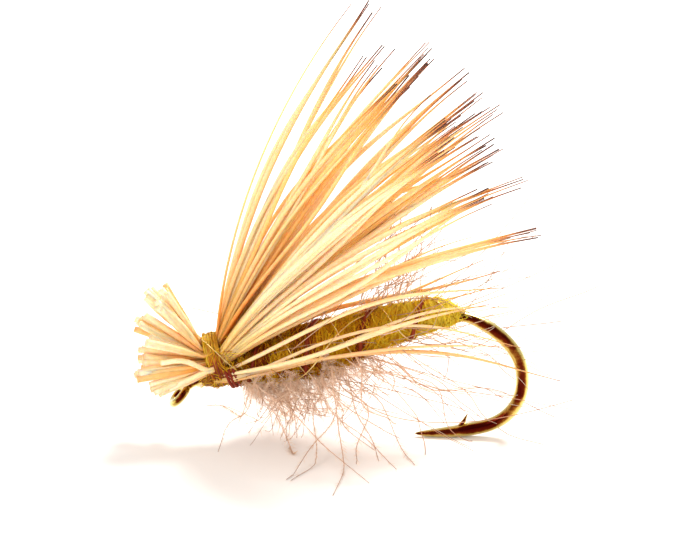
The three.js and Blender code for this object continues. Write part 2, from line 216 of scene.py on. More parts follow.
def in_scene(name, data):
    """A new object of the scene that holds a mesh, a light or a camera."""
    thing = bpy.data.objects.new(name, data)
    bpy.context.scene.collection.objects.link(thing)
    return thing


def make_object(name, vertices, faces):
    mesh = bpy.data.meshes.new(name)
    mesh.from_pydata(vertices.tolist(), [], faces)
    mesh.polygons.foreach_set("use_smooth", np.full(len(mesh.polygons), True))
    mesh.update()
    return in_scene(name, mesh)


def store_values(mesh, along, tone):
    """Stores two numbers for every corner, which the materials read."""
    for name, numbers in (("along", along), ("tone", tone)):
        layer = mesh.attributes.new(name, "FLOAT", "POINT")
        layer.data.foreach_set("value", numbers.astype(np.float32))


def ring_quads(near, beyond, sides):
    """Faces between the rings that start at corners near and beyond."""
    corner = np.arange(sides)
    beside = (corner + 1) % sides
    quads = np.stack([near + corner, near + beside, beyond + beside, beyond + corner], axis=-1)
    return quads.reshape(-1, 4).tolist()


def strand_arrays(paths, radii, sides):
    """Closed tapering tubes along paths (n, steps, 3) with radii (n, steps): vertices and faces."""
    count, steps, _ = paths.shape
    along = unit(np.gradient(paths, axis=1))
    chord = np.abs(paths[:, -1] - paths[:, 0])
    reference = np.eye(3)[np.argmin(chord, axis=1)][:, None, :]
    side = unit(np.cross(along, reference))
    up = np.cross(along, side)
    angle = circle(sides)[:, None]
    ring = np.cos(angle) * side[:, :, None, :] + np.sin(angle) * up[:, :, None, :]
    vertices = paths[:, :, None, :] + radii[:, :, None, None] * ring
    start = np.arange(count)[:, None] * steps * sides
    near = start[..., None] + np.arange(steps - 1)[:, None] * sides
    corner = np.arange(sides)
    caps = [start + corner[::-1], start + (steps - 1) * sides + corner]
    faces = ring_quads(near, near + sides, sides) + np.concatenate(caps).tolist()
    return vertices.reshape(-1, 3), faces


def cord(path, radius, sides, tone=0.0):
    """One strand of even thickness, as a group for strands()."""
    return path[None], np.full((1, len(path)), radius), sides, np.array([tone])


def strands(name, groups):
    """One piece from several (paths, radii, sides, tone) groups laid out in hook millimetres."""
    vertices, faces, along, tone = [], [], [], []
    offset = 0
    for paths, radii, sides, shades in groups:
        shape = (*paths.shape[:2], sides)
        points, polygons = strand_arrays(paths, radii, sides)
        faces += [[corner + offset for corner in face] for face in polygons]
        vertices.append(to_row(points))
        along.append(np.broadcast_to(shares(shape[1])[:, None], shape).ravel())
        shades = np.asarray(shades, float)
        shades = shades[:, :, None] if shades.ndim == 2 else shades[:, None, None]
        tone.append(np.broadcast_to(shades, shape).ravel())
        offset += len(points)
    piece = make_object(name, np.concatenate(vertices), faces)
    store_values(piece.data, np.concatenate(along), np.concatenate(tone))
    return piece


def lofted(name, rings, looped=False):
    """A closed surface through rings (n, sides, 3) in hook millimetres."""
    count, sides, _ = rings.shape
    corner = np.arange(sides)
    total = count * sides
    near = np.arange(count if looped else count - 1)[:, None] * sides
    faces = ring_quads(near, (near + sides) % total, sides)
    if not looped:
        faces += [corner[::-1].tolist(), (corner + total - sides).tolist()]
    piece = make_object(name, to_row(rings.reshape(-1, 3)), faces)
    face_outwards(piece.data)
    return piece


def face_outwards(mesh):
    surface = bmesh.new()
    surface.from_mesh(mesh)
    bmesh.ops.recalc_face_normals(surface, faces=surface.faces)
    surface.to_mesh(mesh)
    surface.free()


def joined(name, parts):
    """Several objects as one piece, their meshes kept as separate closed shells."""
    bpy.ops.object.select_all(action="DESELECT")
    for part in parts:
        part.select_set(True)
    bpy.context.view_layer.objects.active = parts[0]
    bpy.ops.object.join()
    parts[0].name = name
    parts[0].data.name = name
    return parts[0]


def dress(piece, material, stands_for=(), body="dressed_hook"):
    """Gives a piece its material and colour slot, the CAD nodes it replaces and its body."""
    piece.data.materials.append(material)
    if stands_for:
        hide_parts(*stands_for)
    if body:
        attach(piece, body)


# ---- The hook's wire, and places on it ----


def bezier(points, steps):
    points = np.array(points, float)
    t = shares(steps)[:, None]
    degree = len(points) - 1
    curve = np.zeros((steps, 2))
    for i, point in enumerate(points):
        curve += comb(degree, i) * t**i * (1 - t) ** (degree - i) * point
    return curve


def wire_course():
    """The wire's centre line in the hook's plane, as dense (x, z) points.

    The curves' pulls are shares of the gape, the bend's reach and the spear, as in the CAD.
    """
    reach = EYE_LENGTH - 2 * EYE_RING - EYE_WIRE
    ring_near = [-cos(EYE_DROP) * reach, -sin(EYE_DROP) * reach]
    bend_top = [SHANK_LENGTH, 0]
    bend_back = [SHANK_LENGTH + BEND_REACH, -0.56 * GAPE]
    spear_root = [SPEAR_ROOT, -GAPE]
    spear_tip = [SPEAR_ROOT - SPEAR_LENGTH, -0.91 * GAPE]
    upper_pull = [SHANK_LENGTH + 0.45 * BEND_REACH, 0]
    upper = [bend_top, upper_pull, [bend_back[0], -0.313 * GAPE], bend_back]
    lower_pull = [SPEAR_ROOT + 0.505 * BEND_REACH, -GAPE]
    lower = [bend_back, [bend_back[0], -0.802 * GAPE], lower_pull, spear_root]
    spear = [spear_root, [SPEAR_ROOT - 0.433 * SPEAR_LENGTH, -0.993 * GAPE], spear_tip]
    parts = [
        bezier([ring_near, [0, 0], [NECK_LENGTH, 0]], 40),
        bezier([[NECK_LENGTH, 0], bend_top], 400)[1:],
        bezier(upper, 120)[1:],
        bezier(lower, 120)[1:],
        bezier(spear, 80)[1:],
    ]
    return np.concatenate(parts)


WIRE = wire_course()
WIRE_STEPS = np.linalg.norm(np.diff(WIRE, axis=0), axis=1)
WIRE_DISTANCE = np.concatenate([[0], np.cumsum(WIRE_STEPS)])
WIRE_DISTANCE += NECK_LENGTH - np.interp(NECK_LENGTH, WIRE[:60, 0], WIRE_DISTANCE[:60])


def on_wire(distance):
    """Centre and upward normal on the wire; distance equals x along the straight shank."""
    distance = np.asarray(distance, float)
    step = 0.02

    def place(d):
        x = np.interp(d, WIRE_DISTANCE, WIRE[:, 0])
        z = np.interp(d, WIRE_DISTANCE, WIRE[:, 1])
        return np.stack([x, z], axis=-1)

    ahead = np.minimum(distance + step, WIRE_DISTANCE[-1])
    behind = np.maximum(distance - step, WIRE_DISTANCE[0])
    along = unit(place(ahead) - place(behind))
    centre = place(distance)
    zero = np.zeros(distance.shape)
    centre = np.stack([centre[..., 0], zero, centre[..., 1]], axis=-1)
    up = np.stack([-along[..., 1], zero, along[..., 0]], axis=-1)
    return centre, up


def around_wire(points):
    """For hook-frame points: distance along the wire, height above it and place across it."""
    gap = WIRE[None] - points[:, None, [0, 2]]
    nearest = np.argmin(np.linalg.norm(gap, axis=-1), axis=1)
    distance = WIRE_DISTANCE[nearest]
    centre, up = on_wire(distance)
    return distance, np.sum((points - centre) * up, axis=-1), points[:, 1]


def hook_rings():
    """Rings along the wire: round in the shank, pressed flat in the bend, drawn to a point."""
    point_length, least = 2.3, 0.003
    stations = np.concatenate(
        [
            np.linspace(WIRE_DISTANCE[0], NECK_LENGTH, 14),
            np.linspace(NECK_LENGTH, SHANK_LENGTH, 12)[1:],
            np.linspace(SHANK_LENGTH, WIRE_DISTANCE[-1], 130)[1:],
        ]
    )
    centre, up = on_wire(stations)
    forged = smoothstep(stations, SHANK_LENGTH + 1, SHANK_LENGTH + 2.4)
    neck = EYE_WIRE + (WIRE_RADIUS - EYE_WIRE) * smoothstep(stations, stations[0], NECK_LENGTH)
    taper = np.sqrt(np.clip((stations[-1] - stations) / point_length, least, 1))
    side_taper = np.minimum(1, 1.2 * taper)
    half_up = (neck + (FORGED_HALF_WIDTH - neck) * forged) * taper
    half_across = (neck + (FORGED_HALF_WIDTH - neck) * forged) * side_taper
    pressed = (neck + (FORGED_HALF_THICKNESS - neck) * forged) * side_taper
    angle = circle(40)
    across = half_across[:, None] * np.cos(angle)
    limit = pressed[:, None]
    # The die marks are flat only in the middle and roll into the rounded edges.
    roll = 0.5
    across = limit * np.tanh(roll * across / limit) / tanh(roll)
    rise = half_up[:, None] * np.sin(angle)
    rings = centre[:, None, :] + rise[..., None] * up[:, None, :]
    rings[..., 1] += across
    return rings


def eye_rings():
    eyeward = np.array([-cos(EYE_DROP), 0, -sin(EYE_DROP)])
    normal = np.array([sin(EYE_DROP), 0, -cos(EYE_DROP)])
    across = np.array([0.0, 1.0, 0.0])
    turn = circle(56)
    outward = np.cos(turn)[:, None] * eyeward + np.sin(turn)[:, None] * across
    centre = eyeward * (EYE_LENGTH - EYE_RING - EYE_WIRE) + EYE_RING * outward
    angle = circle(20)[:, None]
    section = np.cos(angle) * outward[:, None, :] + np.sin(angle) * normal
    return centre[:, None, :] + EYE_WIRE * section


def hook_barb():
    """The sliver raised from the spear's upper side, pointing back towards the bend."""
    foot = np.array([SHANK_LENGTH - 0.133 * GAPE, 0.0, -0.985 * GAPE])
    point = np.array([SHANK_LENGTH - 0.006 * GAPE, 0.0, -0.86 * GAPE])
    t = shares(12)
    path = foot + (point - foot) * t[:, None]
    path[:, 0] += 0.06 * np.sin(pi * t)
    radius = 0.16 * (1 - t) ** 0.8 + 0.008
    return strands("hook_barb", [(path[None], radius[None], 12, np.zeros(1))])


def build_hook():
    wire = lofted("hook_wire", hook_rings())
    eye = lofted("hook_eye", eye_rings(), looped=True)
    hook = joined("bronzed_hook", [wire, eye, hook_barb()])
    dress(hook, bronze_material(), ["hook"])


# ---- Materials ----


class Nodes:
    """A new material's node tree, with the few joins these materials use."""

    def __init__(self, name):
        self.material = bpy.data.materials.new(name)
        self.material.use_nodes = True
        self.tree = self.material.node_tree
        self.shader = self.tree.nodes["Principled BSDF"]

    def feed(self, socket, value):
        """Links an input to another node's output, or sets its value."""
        if isinstance(value, bpy.types.NodeSocket):
            self.tree.links.new(value, socket)
        else:
            socket.default_value = value

    def add(self, kind, inputs=None, **settings):
        node = self.tree.nodes.new(kind)
        for key, value in settings.items():
            setattr(node, key, value)
        for key, value in (inputs or {}).items():
            self.feed(node.inputs[key], value)
        return node

    def set(self, **values):
        """Feeds the shader's inputs, whose names have a space for each underscore."""
        for key, value in values.items():
            self.feed(self.shader.inputs[key.replace("_", " ")], value)

    def attribute(self, name):
        return self.add("ShaderNodeAttribute", attribute_name=name).outputs["Fac"]

    def noise(self, scale, detail=3.0, roughness=0.6, stretch=None):
        place = self.add("ShaderNodeTexCoord").outputs["Object"]
        if stretch:
            place = self.add("ShaderNodeMapping", {"Vector": place, "Scale": stretch}).outputs["Vector"]
        inputs = {"Vector": place, "Scale": scale, "Detail": detail, "Roughness": roughness}
        return self.add("ShaderNodeTexNoise", inputs).outputs["Fac"]

    def ramp(self, source, stops):
        ramp = self.add("ShaderNodeValToRGB", {"Fac": source})
        elements = ramp.color_ramp.elements
        while len(elements) < len(stops):
            elements.new(0.5)
        for element, (place, colour) in zip(elements, stops):
            element.position = place
            element.color = (*colour, 1.0)
        return ramp.outputs["Color"]

    def mix(self, kind, factor, first, second):
        """Mixes two colours; Blender's mix node numbers its colour inputs 6 and 7."""
        inputs = {0: factor, 6: first, 7: second}
        return self.add("ShaderNodeMix", inputs, data_type="RGBA", blend_type=kind).outputs[2]

    def span(self, source, low, high, to_low, to_high):
        inputs = {"Value": source, "From Min": low, "From Max": high, "To Min": to_low, "To Max": to_high}
        return self.add("ShaderNodeMapRange", inputs).outputs["Result"]

    def bump(self, height, strength, distance):
        inputs = {"Height": height, "Strength": strength, "Distance": distance}
        self.set(Normal=self.add("ShaderNodeBump", inputs).outputs["Normal"])


def bronze_material():
    """Lacquered steel: a dark red-brown middle that turns olive gold towards its rounded edges. This is a
    painted reflection, set by how squarely each place faces the camera, with random blotches in it.
    """
    n = Nodes("bronzed_steel")
    facing = n.add("ShaderNodeLayerWeight", {"Blend": 0.5}).outputs["Facing"]
    blotches = n.noise(900, 4.0, 0.65)
    uneven = n.span(blotches, 0.35, 0.7, -0.07, 0.13)
    # Painted reflection: dark red-brown where the wire faces the camera, olive gold where it turns away
    # at its edges.
    core = n.ramp(
        n.add("ShaderNodeMath", {0: facing, 1: uneven}, operation="ADD").outputs["Value"],
        [
            (0.0, (0.045, 0.002, 0.001)),
            (0.10, (0.085, 0.009, 0.002)),
            (0.16, (0.22, 0.085, 0.012)),
            (0.23, (0.54, 0.39, 0.09)),
            (0.60, (0.80, 0.68, 0.34)),
        ],
    )
    n.set(Base_Color=core, Metallic=1.0, Roughness=n.span(blotches, 0.3, 0.7, 0.16, 0.30))
    n.bump(n.noise(2600, 4.0, 0.6), 0.10, 0.00001)
    return n.material


def hair_material(name, pale, golden, light_depth=0.0003):
    """Hollow hair, mixed by each hair's tone from a cream ramp and a golden one, with fine lengthwise
    mottle. The cream outside the bundle is painted light and the golden deep in it is painted shade; the
    rest of the tone differs at random.

    Light reaches light_depth metres into it.
    """
    n = Nodes(name)
    along = n.attribute("along")
    # Painted shade: a low tone, given to hairs deep in the bundle, takes the golden ramp.
    tone_with_painted_shade = n.ramp(n.attribute("tone"), [(0.05, (0.0, 0.0, 0.0)), (0.75, (1.0, 1.0, 1.0))])
    colour = n.mix("MIX", tone_with_painted_shade, n.ramp(along, golden), n.ramp(along, pale))
    fine = n.noise(5200, 3.0, 0.6)
    mottled = n.ramp(fine, [(0.3, (0.92, 0.78, 0.60)), (0.6, (1.02, 1.0, 0.98))])
    colour = n.mix("MULTIPLY", 0.6, colour, mottled)
    n.set(Base_Color=colour, Roughness=n.span(fine, 0.3, 0.7, 0.36, 0.52))
    n.set(Subsurface_Weight=0.55, Subsurface_Radius=(1.0, 0.5, 0.15), Subsurface_Scale=light_depth)
    n.set(Specular_IOR_Level=0.35)
    n.bump(n.noise(9000, 2.0, 0.5, (1.0, 3.0, 1.0)), 0.08, 0.000006)
    return n.material


# Colours along each hair, root to tip. Each golden ramp is the shaded copy of its pale one: it is painted
# shade for hairs deep in a bundle, and otherwise it gives random variation between hairs. The wing's
# darker golden root ends are painted shade where the hairs crowd into the collar. Their dark tips are the
# hair's own colour.
PALE_WING = [
    (0.0, (0.80, 0.38, 0.08)),
    (0.14, (0.92, 0.55, 0.20)),
    (0.32, (1.0, 0.73, 0.45)),
    (0.74, (1.0, 0.77, 0.51)),
    (0.86, (0.86, 0.56, 0.28)),
    (0.925, (0.46, 0.25, 0.10)),
    (0.96, (0.10, 0.05, 0.025)),
    (1.0, (0.020, 0.013, 0.010)),
]
GOLDEN_WING = [
    (0.0, (0.42, 0.11, 0.006)),
    (0.16, (0.72, 0.27, 0.025)),
    (0.45, (0.90, 0.56, 0.20)),
    (0.74, (0.92, 0.58, 0.22)),
    (0.86, (0.68, 0.36, 0.09)),
    (0.92, (0.30, 0.13, 0.04)),
    (0.955, (0.06, 0.03, 0.015)),
    (1.0, (0.018, 0.011, 0.008)),
]
PALE_SIDE = [
    (0.0, (0.88, 0.50, 0.17)),
    (0.12, (1.0, 0.72, 0.42)),
    (0.7, (1.0, 0.70, 0.42)),
    (0.86, (0.93, 0.54, 0.27)),
    (0.95, (0.46, 0.19, 0.07)),
    (1.0, (0.07, 0.035, 0.02)),
]
GOLDEN_SIDE = [
    (0.0, (0.55, 0.20, 0.02)),
    (0.3, (0.84, 0.40, 0.09)),
    (0.8, (0.82, 0.40, 0.12)),
    (0.94, (0.34, 0.12, 0.04)),
    (1.0, (0.05, 0.025, 0.015)),
]
PALE_BUTT = [
    (0.0, (0.74, 0.36, 0.06)),
    (0.25, (0.97, 0.64, 0.30)),
    (0.7, (1.0, 0.78, 0.50)),
    (0.97, (1.0, 0.86, 0.62)),
    (1.0, (0.92, 0.68, 0.42)),
]
GOLDEN_BUTT = [
    (0.0, (0.45, 0.14, 0.008)),
    (0.3, (0.80, 0.36, 0.06)),
    (0.8, (0.94, 0.56, 0.22)),
    (1.0, (0.80, 0.48, 0.20)),
]


def fur_material():
    n = Nodes("mustard_dubbing")
    patches = n.noise(1300, 4.0, 0.7)
    by_hair = n.ramp(
        n.attribute("tone"),
        [
            (0.0, (0.20, 0.018, 0.003)),
            (0.18, (0.44, 0.10, 0.004)),
            (0.42, (0.84, 0.38, 0.006)),
            (0.7, (0.96, 0.58, 0.014)),
            (1.0, (0.98, 0.80, 0.07)),
        ],
    )
    by_place = n.ramp(patches, [(0.36, (0.74, 0.56, 0.40)), (0.62, (1.05, 1.03, 0.95))])
    n.set(Base_Color=n.mix("MULTIPLY", 0.7, by_hair, by_place))
    n.set(Roughness=0.7, Specular_IOR_Level=0.12)
    n.set(Subsurface_Weight=0.35, Subsurface_Radius=(1.0, 0.6, 0.05), Subsurface_Scale=0.0003)
    n.bump(n.noise(7000, 4.0, 0.7), 0.4, 0.00003)
    return n.material


def thread_material(name, stops):
    n = Nodes(name)
    fibres = n.noise(6500, 3.0, 0.6)
    shade = n.ramp(fibres, [(0.3, (0.50, 0.36, 0.24)), (0.65, (1.02, 0.94, 0.84))])
    n.set(Base_Color=n.mix("MULTIPLY", 0.8, n.ramp(n.attribute("tone"), stops), shade))
    n.set(Roughness=n.span(fibres, 0.3, 0.7, 0.40, 0.62), Specular_IOR_Level=0.25)
    n.bump(fibres, 0.5, 0.00001)
    return n.material


def feather_material(name, stops, tint_noise=1800):
    n = Nodes(name)
    colour = n.ramp(n.attribute("along"), stops)
    tone = n.ramp(n.attribute("tone"), [(0.0, (0.80, 0.70, 0.62)), (1.0, (1.06, 1.04, 1.02))])
    shade = n.ramp(n.noise(tint_noise), [(0.3, (0.86, 0.80, 0.74)), (0.7, (1.05, 1.04, 1.02))])
    colour = n.mix("MULTIPLY", 1.0, colour, tone)
    n.set(Base_Color=n.mix("MULTIPLY", 0.7, colour, shade))
    n.set(Roughness=0.6, Specular_IOR_Level=0.2)
    return n.material


def gold_material():
    n = Nodes("gold_wire")
    wear = n.noise(3000, 3.0, 0.6)
    n.set(Base_Color=n.ramp(wear, [(0.3, (0.55, 0.36, 0.10)), (0.7, (0.95, 0.74, 0.34))]))
    n.set(Metallic=1.0, Roughness=n.span(wear, 0.3, 0.7, 0.18, 0.4))
    n.bump(wear, 0.2, 0.000005)
    return n.material


# ---- Body, thread, rib ----


def body_profile():
    """Places along the wire, with the CAD body's radius and its lift above the wire at each."""
    distance, height, across = around_wire(hook_corners("dubbed_body"))
    rows = []
    for ring in rings_apart(distance):
        lift = (height[ring].max() + height[ring].min()) / 2
        rows.append((distance[ring].mean(), across[ring].max() / BODY_CORNER, lift))
    return np.array(rows).T


BODY_PLACES, BODY_RADII, BODY_LIFTS = body_profile()
BODY_START, BODY_END = BODY_PLACES[0], BODY_PLACES[-1]
BODY_LENGTH = BODY_END - BODY_START


def body_share(x):
    """How far along the body a place is, from 0 at the collar to 1 at the bend."""
    return (np.asarray(x, float) - BODY_START) / BODY_LENGTH


def body_radius(x):
    closing = 1 - 0.4 * smoothstep(body_share(x), 0.91, 0.98)
    return np.interp(x, BODY_PLACES, BODY_RADII) * closing


def body_lift(x):
    return np.interp(x, BODY_PLACES, BODY_LIFTS)


def round_body(x, angle, height):
    """Places round the body: distance along it, angle from the top, height above its surface."""
    centre, up = on_wire(x)
    across = np.zeros_like(centre)
    across[..., 1] = 1
    outward = np.cos(angle)[..., None] * up + np.sin(angle)[..., None] * across
    centre = centre + body_lift(x)[..., None] * up
    return centre + (body_radius(x) + height)[..., None] * outward, outward


def lumps(x, angle):
    """Soft unevenness of wound fur, in millimetres."""
    wave = np.sin(2.9 * x + 2 * angle) + np.sin(5.3 * x - 3 * angle + 1.0)
    return 0.022 * wave + 0.012 * np.sin(11 * x + 5 * angle)


# A wound cord's corners lie within this of the body; those of barbs and loose ends lie further out.
NEAR_SURFACE = 0.2


def winding_of(node):
    """A cord wound on the CAD body: its angle from the top at x = 0, and its radians a millimetre."""
    distance, height, across = around_wire(hook_corners(node))
    height = height - body_lift(distance)
    wound = np.abs(np.hypot(height, across) - body_radius(distance)) < NEAR_SURFACE
    wound &= body_share(distance) < 0.9
    order = np.argsort(distance[wound])
    angle = np.unwrap(np.arctan2(across[wound][order], height[wound][order]))
    rate, start = np.polyfit(distance[wound][order], angle, 1)
    return start, rate


HACKLE_WINDING = winding_of("palmered_hackle")
RIB_WINDING = winding_of("rib_wire")


def winding_angle(x, winding):
    start, rate = winding
    return start + rate * x


def from_winding(x, angle, winding):
    """How far round the body a place is from a winding, in radians."""
    away = angle - winding_angle(x, winding)
    return np.abs((away + pi) % (2 * pi) - pi)


def build_body():
    """The fur's core, dark beside the quill, with the fibres spun round it."""
    sunk, sides = 0.05, 64
    x = np.linspace(BODY_START, BODY_END - 0.25, 150)[:, None]
    x, angle = np.broadcast_arrays(x, circle(sides))
    rings, _ = round_body(x, angle, lumps(x, angle) - sunk)
    core = lofted("dubbing_core", rings)
    dice = np.random.default_rng(11)
    away = from_winding(x.ravel(), angle.ravel(), HACKLE_WINDING)
    tone = 0.06 + 0.36 * smoothstep(away, 0.3, 1.0) + 0.1 * dice.random(len(away))
    store_values(core.data, np.zeros(len(away)), tone)
    fur = joined("dubbed_fur", [core, dubbing_fibres()])
    dress(fur, fur_material(), ["dubbed_body", "thread_underbody"])


def dubbing_fibres():
    """Fur spun round the thread: most fibres hug the body, some stand off it, few cross the quill."""
    dice = np.random.default_rng(12)
    count, steps = 6400, 6
    x0 = dice.uniform(BODY_START - 0.1, BODY_END - 0.3, count)
    a0 = dice.uniform(0, 2 * pi, count)
    from_quill = from_winding(x0, a0, HACKLE_WINDING)
    keep = (from_quill > 0.42) | (dice.random(count) < 0.5)
    x0, a0, from_quill = x0[keep], a0[keep], from_quill[keep]
    count = len(x0)
    length = dice.uniform(0.4, 1.5, count)
    slant = dice.normal(1.25, 0.5, count) * dice.choice([-1, 1], count, p=[0.2, 0.8])
    share = body_share(x0)
    belly = smoothstep(-np.cos(a0), 0.2, 0.9) * (1 - smoothstep(share, 0.28, 0.51))
    loose = dice.random(count) < 0.18 + 0.35 * belly
    rise = np.where(loose, dice.uniform(0.08, 0.42, count), dice.uniform(0.0, 0.06, count))
    t = shares(steps)[None]
    x = x0[:, None] + (length * np.cos(slant))[:, None] * (t - 0.5)
    x = np.clip(x, BODY_START - 0.1, BODY_END)
    turn = (length * np.sin(slant) / np.maximum(body_radius(x0), 0.4))[:, None] * (t - 0.5)
    curl = 0.18 * np.sin(6 * t + a0[:, None] * 3)
    angle = a0[:, None] + turn + curl * 0.4
    low = dice.uniform(-0.05, 0.05, count)[:, None]
    height = low + rise[:, None] * t**1.6 + lumps(x, angle)
    paths, _ = round_body(x, angle, height)
    thickness = dice.uniform(0.010, 0.019, count)[:, None]
    radii = thickness * (1 - 0.75 * t**2) + 0.002
    yellow = smoothstep(share, 0.55, 0.88) * 0.42
    wave = np.sin(3.1 * x0 + 2 * a0) + np.sin(4.7 * x0 - 3 * a0 + 2.0)
    dark = 0.50 * smoothstep(wave, -0.4, 0.8) * (1 - smoothstep(share, 0.30, 0.49)) * (1 - 0.8 * belly)
    beside_quill = 0.38 * (1 - smoothstep(from_quill, 0.55, 1.05))
    tone = np.clip(dice.normal(0.55, 0.2, count) + yellow - np.maximum(dark, beside_quill), 0, 1)
    return strands("dubbing_fibres", [(paths, radii, 3, tone), collar_fuzz(dice), tie_in_tuft(dice)])


def tie_in_tuft(dice):
    """The clipped stub where the feather was tied in on top of the body's rear."""
    count, steps = 26, 5
    t = shares(steps)[None]
    place = BODY_START + (0.84 + dice.normal(0, 0.01, count)) * BODY_LENGTH
    roots, out = round_body(place, dice.normal(0, 0.12, count), np.full(count, -0.1))
    heading = out + dice.normal(0, 0.35, (count, 3)) * np.array([1.0, 1.0, 0.0])
    length = dice.uniform(0.3, 0.75, count)
    paths = roots[:, None] + (length[:, None] * t)[..., None] * heading[:, None]
    return paths, 0.016 * (1 - 0.7 * t) * np.ones((count, 1)), 3, dice.uniform(0.15, 0.6, count)


def collar_fuzz(dice):
    """Wisps of dubbing caught under the collar and along the finishing turns."""
    count, steps = 420, 6
    bare, reach = 0.36, 0.16
    x0 = dice.uniform(whip_low[0] + 0.1, COLLAR_END + 0.8, count)
    a0 = dice.normal(pi, 1.15, count)
    length = dice.uniform(0.25, 0.8, count)
    slant = dice.uniform(0, 2 * pi, count)
    t = shares(steps)[None]
    x = x0[:, None] + (length * np.cos(slant))[:, None] * t
    angle = a0[:, None] + (length * np.sin(slant) / 0.8)[:, None] * t
    under_collar = smoothstep(x, COLLAR_START - 0.3, COLLAR_START + 0.1)
    half_width = bare + (COLLAR_HALF_WIDTH + reach - bare) * under_collar
    half_height = bare + (COLLAR_HALF_HEIGHT + reach - bare) * under_collar
    out = dice.uniform(0.0, reach, count)[:, None] * t**1.4
    y = (half_width + out) * np.sin(angle)
    z = COLLAR_HEIGHT * under_collar + (half_height + out) * np.cos(angle)
    paths = np.stack([x, y, z], axis=-1)
    radii = 0.013 * (1 - 0.7 * t**2) * np.ones((count, 1)) + 0.002
    return paths, radii, 3, np.clip(dice.normal(0.42, 0.3, count), 0, 1)


def spiral(winding, height, steps, start, end):
    """A cord wound on the body at a height above its surface."""
    x = np.linspace(start, end, steps)
    points, _ = round_body(x, winding_angle(x, winding), np.full(steps, height))
    return points


def loose_tail():
    """A slack stretch of the wire that has sprung off the near side of the body."""
    t = shares(40)
    x = BODY_START + (0.18 + 0.42 * t) * BODY_LENGTH
    points, _ = round_body(x, -2.5 + 2.1 * t, 0.1 + 0.55 * np.sin(pi * t))
    return points


def round_collar(x, angle, height):
    """Places round the collar's oval: distance along it, angle from the top, height above it."""
    y = (COLLAR_HALF_WIDTH + height) * np.sin(angle)
    z = COLLAR_HEIGHT + (COLLAR_HALF_HEIGHT + height) * np.cos(angle)
    return np.stack([x, y, z], axis=-1)


def tied_off_end():
    """The wire's end, brought forward over the near side of the collar and caught on top."""
    t = shares(40)
    behind = COLLAR_END + 0.5
    return round_collar(behind - (behind - COLLAR_START) * t, -1.9 + 1.55 * t, 0.19)


def build_rib():
    wound = spiral(RIB_WINDING, 0.10, 420, BODY_START + 0.25, BODY_END - 0.75)
    paths = (wound, tied_off_end(), loose_tail())
    rib = strands("rib_gold_wire", [cord(path, 0.028, 8) for path in paths])
    dress(rib, gold_material(), ["rib_wire"])


def oval_winding(start, end, turns, height, dice):
    """Slightly uneven turns of thread round the collar's oval, at a height above it."""
    steps, wobble = turns * 40, 0.02
    turned = 2 * pi * turns * shares(steps)
    jitter = wobble * np.sin(turned * 0.37 + dice.uniform(0, 6)) + wobble * np.sin(turned * 0.83)
    return round_collar(np.linspace(start, end, steps), turned, height + jitter)


def build_collar():
    dice = np.random.default_rng(21)
    # Each pass of the thread: where it starts and ends, its turns, its height and its shade.
    passes = (
        (COLLAR_START + 0.03, COLLAR_END - 0.02, 11, 0.05, 0.50),
        (COLLAR_END - 0.02, COLLAR_START + 0.05, 7, 0.10, 0.75),
        (COLLAR_START + 0.08, COLLAR_END - 0.1, 4, 0.14, 0.30),
    )
    groups = []
    for start, end, turns, height, shade in passes:
        path = oval_winding(start, end, turns, height, dice)
        # Painted light and shade: each pass is lighter towards the top of the oval and darker towards its
        # bottom, with a little random tone.
        top = (path[:, 2] - COLLAR_HEIGHT) / COLLAR_HALF_HEIGHT
        shades = np.clip(shade - 0.18 + 0.55 * top + dice.normal(0, 0.12, len(path)), 0, 1)
        groups.append((*cord(path, 0.047, 6)[:3], shades[None]))
    collar = strands("thread_collar_wraps", groups)
    olive = [
        (0.0, (0.22, 0.022, 0.004)),
        (0.3, (0.42, 0.10, 0.006)),
        (0.6, (0.62, 0.30, 0.012)),
        (1.0, (0.66, 0.46, 0.035)),
    ]
    stands_for = ["thread_collar", "hair_pinch"]
    dress(collar, thread_material("olive_thread", olive), stands_for)


def build_whip():
    """The finishing turns on the bare wire, thicker towards the collar."""
    whip_start, whip_end = whip_low[0] + 0.05, whip_high[0] + 0.06
    swell = 0.16
    passes = ((whip_start, whip_end, 8, 0.03, 0.35), (whip_end, whip_start + 0.1, 6, 0.10, 0.6))
    groups = []
    for start, end, turns, height, shade in passes:
        steps = turns * 32
        x = np.linspace(start, end, steps)
        turned = 2 * pi * turns * shares(steps)
        radius = WIRE_RADIUS + height + swell * smoothstep(x, whip_start, whip_end)
        path = np.stack([x, radius * np.sin(turned), radius * np.cos(turned)], axis=-1)
        groups.append(cord(path, 0.045, 6, shade))
    whip = strands("whip_finish_wraps", groups)
    brown = [(0.0, (0.16, 0.03, 0.004)), (1.0, (0.50, 0.24, 0.015))]
    dress(whip, thread_material("finish_thread", brown), ["whip_finish"])


# ---- Hackle ----


def throat_arcs():
    """The quill's first close turns, seen under the body just behind the collar."""
    round_under = np.linspace(-1.75, 1.75, 40)
    middle, drop = COLLAR_HEIGHT - 0.45 * COLLAR_HALF_HEIGHT, 0.92
    arcs = []
    for place in (0, 0.15, 0.34):
        x = BODY_START + place + 0.05 * round_under
        y = (COLLAR_HALF_WIDTH + 0.1) * np.sin(round_under)
        z = middle - drop * np.cos(round_under)
        arcs.append(cord(np.stack([x, y, z], axis=-1), 0.08, 8, 0.7))
    return arcs


def build_quill():
    points = spiral(HACKLE_WINDING, 0.035, 520, BODY_START + 0.2, BODY_END - 0.75)
    radii = np.linspace(0.085, 0.10, len(points))[None]
    quill = strands("hackle_quill", [(points[None], radii, 9, np.array([0.4]))] + throat_arcs())
    red = [(0.0, (0.20, 0.016, 0.004)), (1.0, (0.28, 0.045, 0.007))]
    dress(quill, feather_material("quill", red, 2500), ["palmered_hackle"])


# Angles round the body, from its top towards the far side.
ABOVE, FAR, BELOW = 0.0, pi / 2, pi

